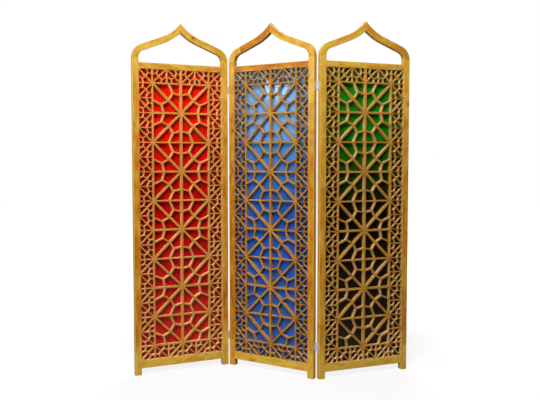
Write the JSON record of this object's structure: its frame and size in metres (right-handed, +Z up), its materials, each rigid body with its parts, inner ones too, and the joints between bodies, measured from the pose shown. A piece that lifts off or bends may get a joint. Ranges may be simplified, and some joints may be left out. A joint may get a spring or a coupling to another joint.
{
  "type": "folding screen",
  "caption": "Folding room screen of hinged wooden panels, each with an ogee arch on top and a star lattice in front of a coloured pane.",
  "frame": {"origin": "on the floor, under the middle of the standing screen's box", "axes": "+X along the screen to the viewer's right, +Y away from the viewer, so that the lattice faces -Y, +Z up"},
  "size_m": [1.4234, 0.2906, 1.8028],
  "materials": {
    "frame_pine": "honey-coloured lacquer over knotty pine",
    "lattice_pine": "honey-coloured lacquer over pine strips",
    "pale_pine": "pale pine, thinly lacquered",
    "left_pane": "glossy red acrylic sheet",
    "middle_pane": "glossy blue acrylic sheet",
    "right_pane": "glossy dark green acrylic sheet",
    "zinc_steel": "zinc-plated steel, dull"
  },
  "bodies": {
    "middle_panel": {"middle_left_stile": "frame_pine", "middle_right_stile": "frame_pine", "middle_bottom_rail": "frame_pine", "middle_top_rail": "frame_pine", "middle_left_arch": "frame_pine", "middle_right_arch": "frame_pine", "middle_lattice_uprights": "lattice_pine", "middle_lattice_crossbars": "lattice_pine", "middle_lattice_diagonals": "lattice_pine", "middle_lattice_rosettes": "lattice_pine", "middle_border_bars": "lattice_pine", "middle_border_diagonals": "lattice_pine", "middle_border_rosettes": "lattice_pine", "middle_pane": "middle_pane", "middle_glazing_beads": "pale_pine", "middle_dowels": "pale_pine", "left_fold_middle_leaves": "zinc_steel", "left_fold_middle_screws": "zinc_steel", "right_fold_middle_leaves": "zinc_steel", "right_fold_middle_screws": "zinc_steel"},
    "left_panel": {"left_left_stile": "frame_pine", "left_right_stile": "frame_pine", "left_bottom_rail": "frame_pine", "left_top_rail": "frame_pine", "left_left_arch": "frame_pine", "left_right_arch": "frame_pine", "left_lattice_uprights": "lattice_pine", "left_lattice_crossbars": "lattice_pine", "left_lattice_diagonals": "lattice_pine", "left_lattice_rosettes": "lattice_pine", "left_border_bars": "lattice_pine", "left_border_diagonals": "lattice_pine", "left_border_rosettes": "lattice_pine", "left_pane": "left_pane", "left_glazing_beads": "pale_pine", "left_dowels": "pale_pine", "left_fold_panel_leaves": "zinc_steel", "left_fold_hinge_pins": "zinc_steel", "left_fold_panel_screws": "zinc_steel"},
    "right_panel": {"right_left_stile": "frame_pine", "right_right_stile": "frame_pine", "right_bottom_rail": "frame_pine", "right_top_rail": "frame_pine", "right_left_arch": "frame_pine", "right_right_arch": "frame_pine", "right_lattice_uprights": "lattice_pine", "right_lattice_crossbars": "lattice_pine", "right_lattice_diagonals": "lattice_pine", "right_lattice_rosettes": "lattice_pine", "right_border_bars": "lattice_pine", "right_border_diagonals": "lattice_pine", "right_border_rosettes": "lattice_pine", "right_pane": "right_pane", "right_glazing_beads": "pale_pine", "right_dowels": "pale_pine", "right_fold_panel_leaves": "zinc_steel", "right_fold_hinge_pins": "zinc_steel", "right_fold_panel_screws": "zinc_steel"}
  },
  "joints": [
    {"name": "left_fold", "type": "hinge", "parent": "middle_panel", "child": "left_panel", "pos_m": [-0.23264, 0.11768, 0.8], "axis": [0, 0, 1], "range_deg": [-55, 125]},
    {"name": "right_fold", "type": "hinge", "parent": "middle_panel", "child": "right_panel", "pos_m": [0.22391, -0.11698, 0.8], "axis": [0, 0, 1], "range_deg": [-52, 128]}
  ]
}
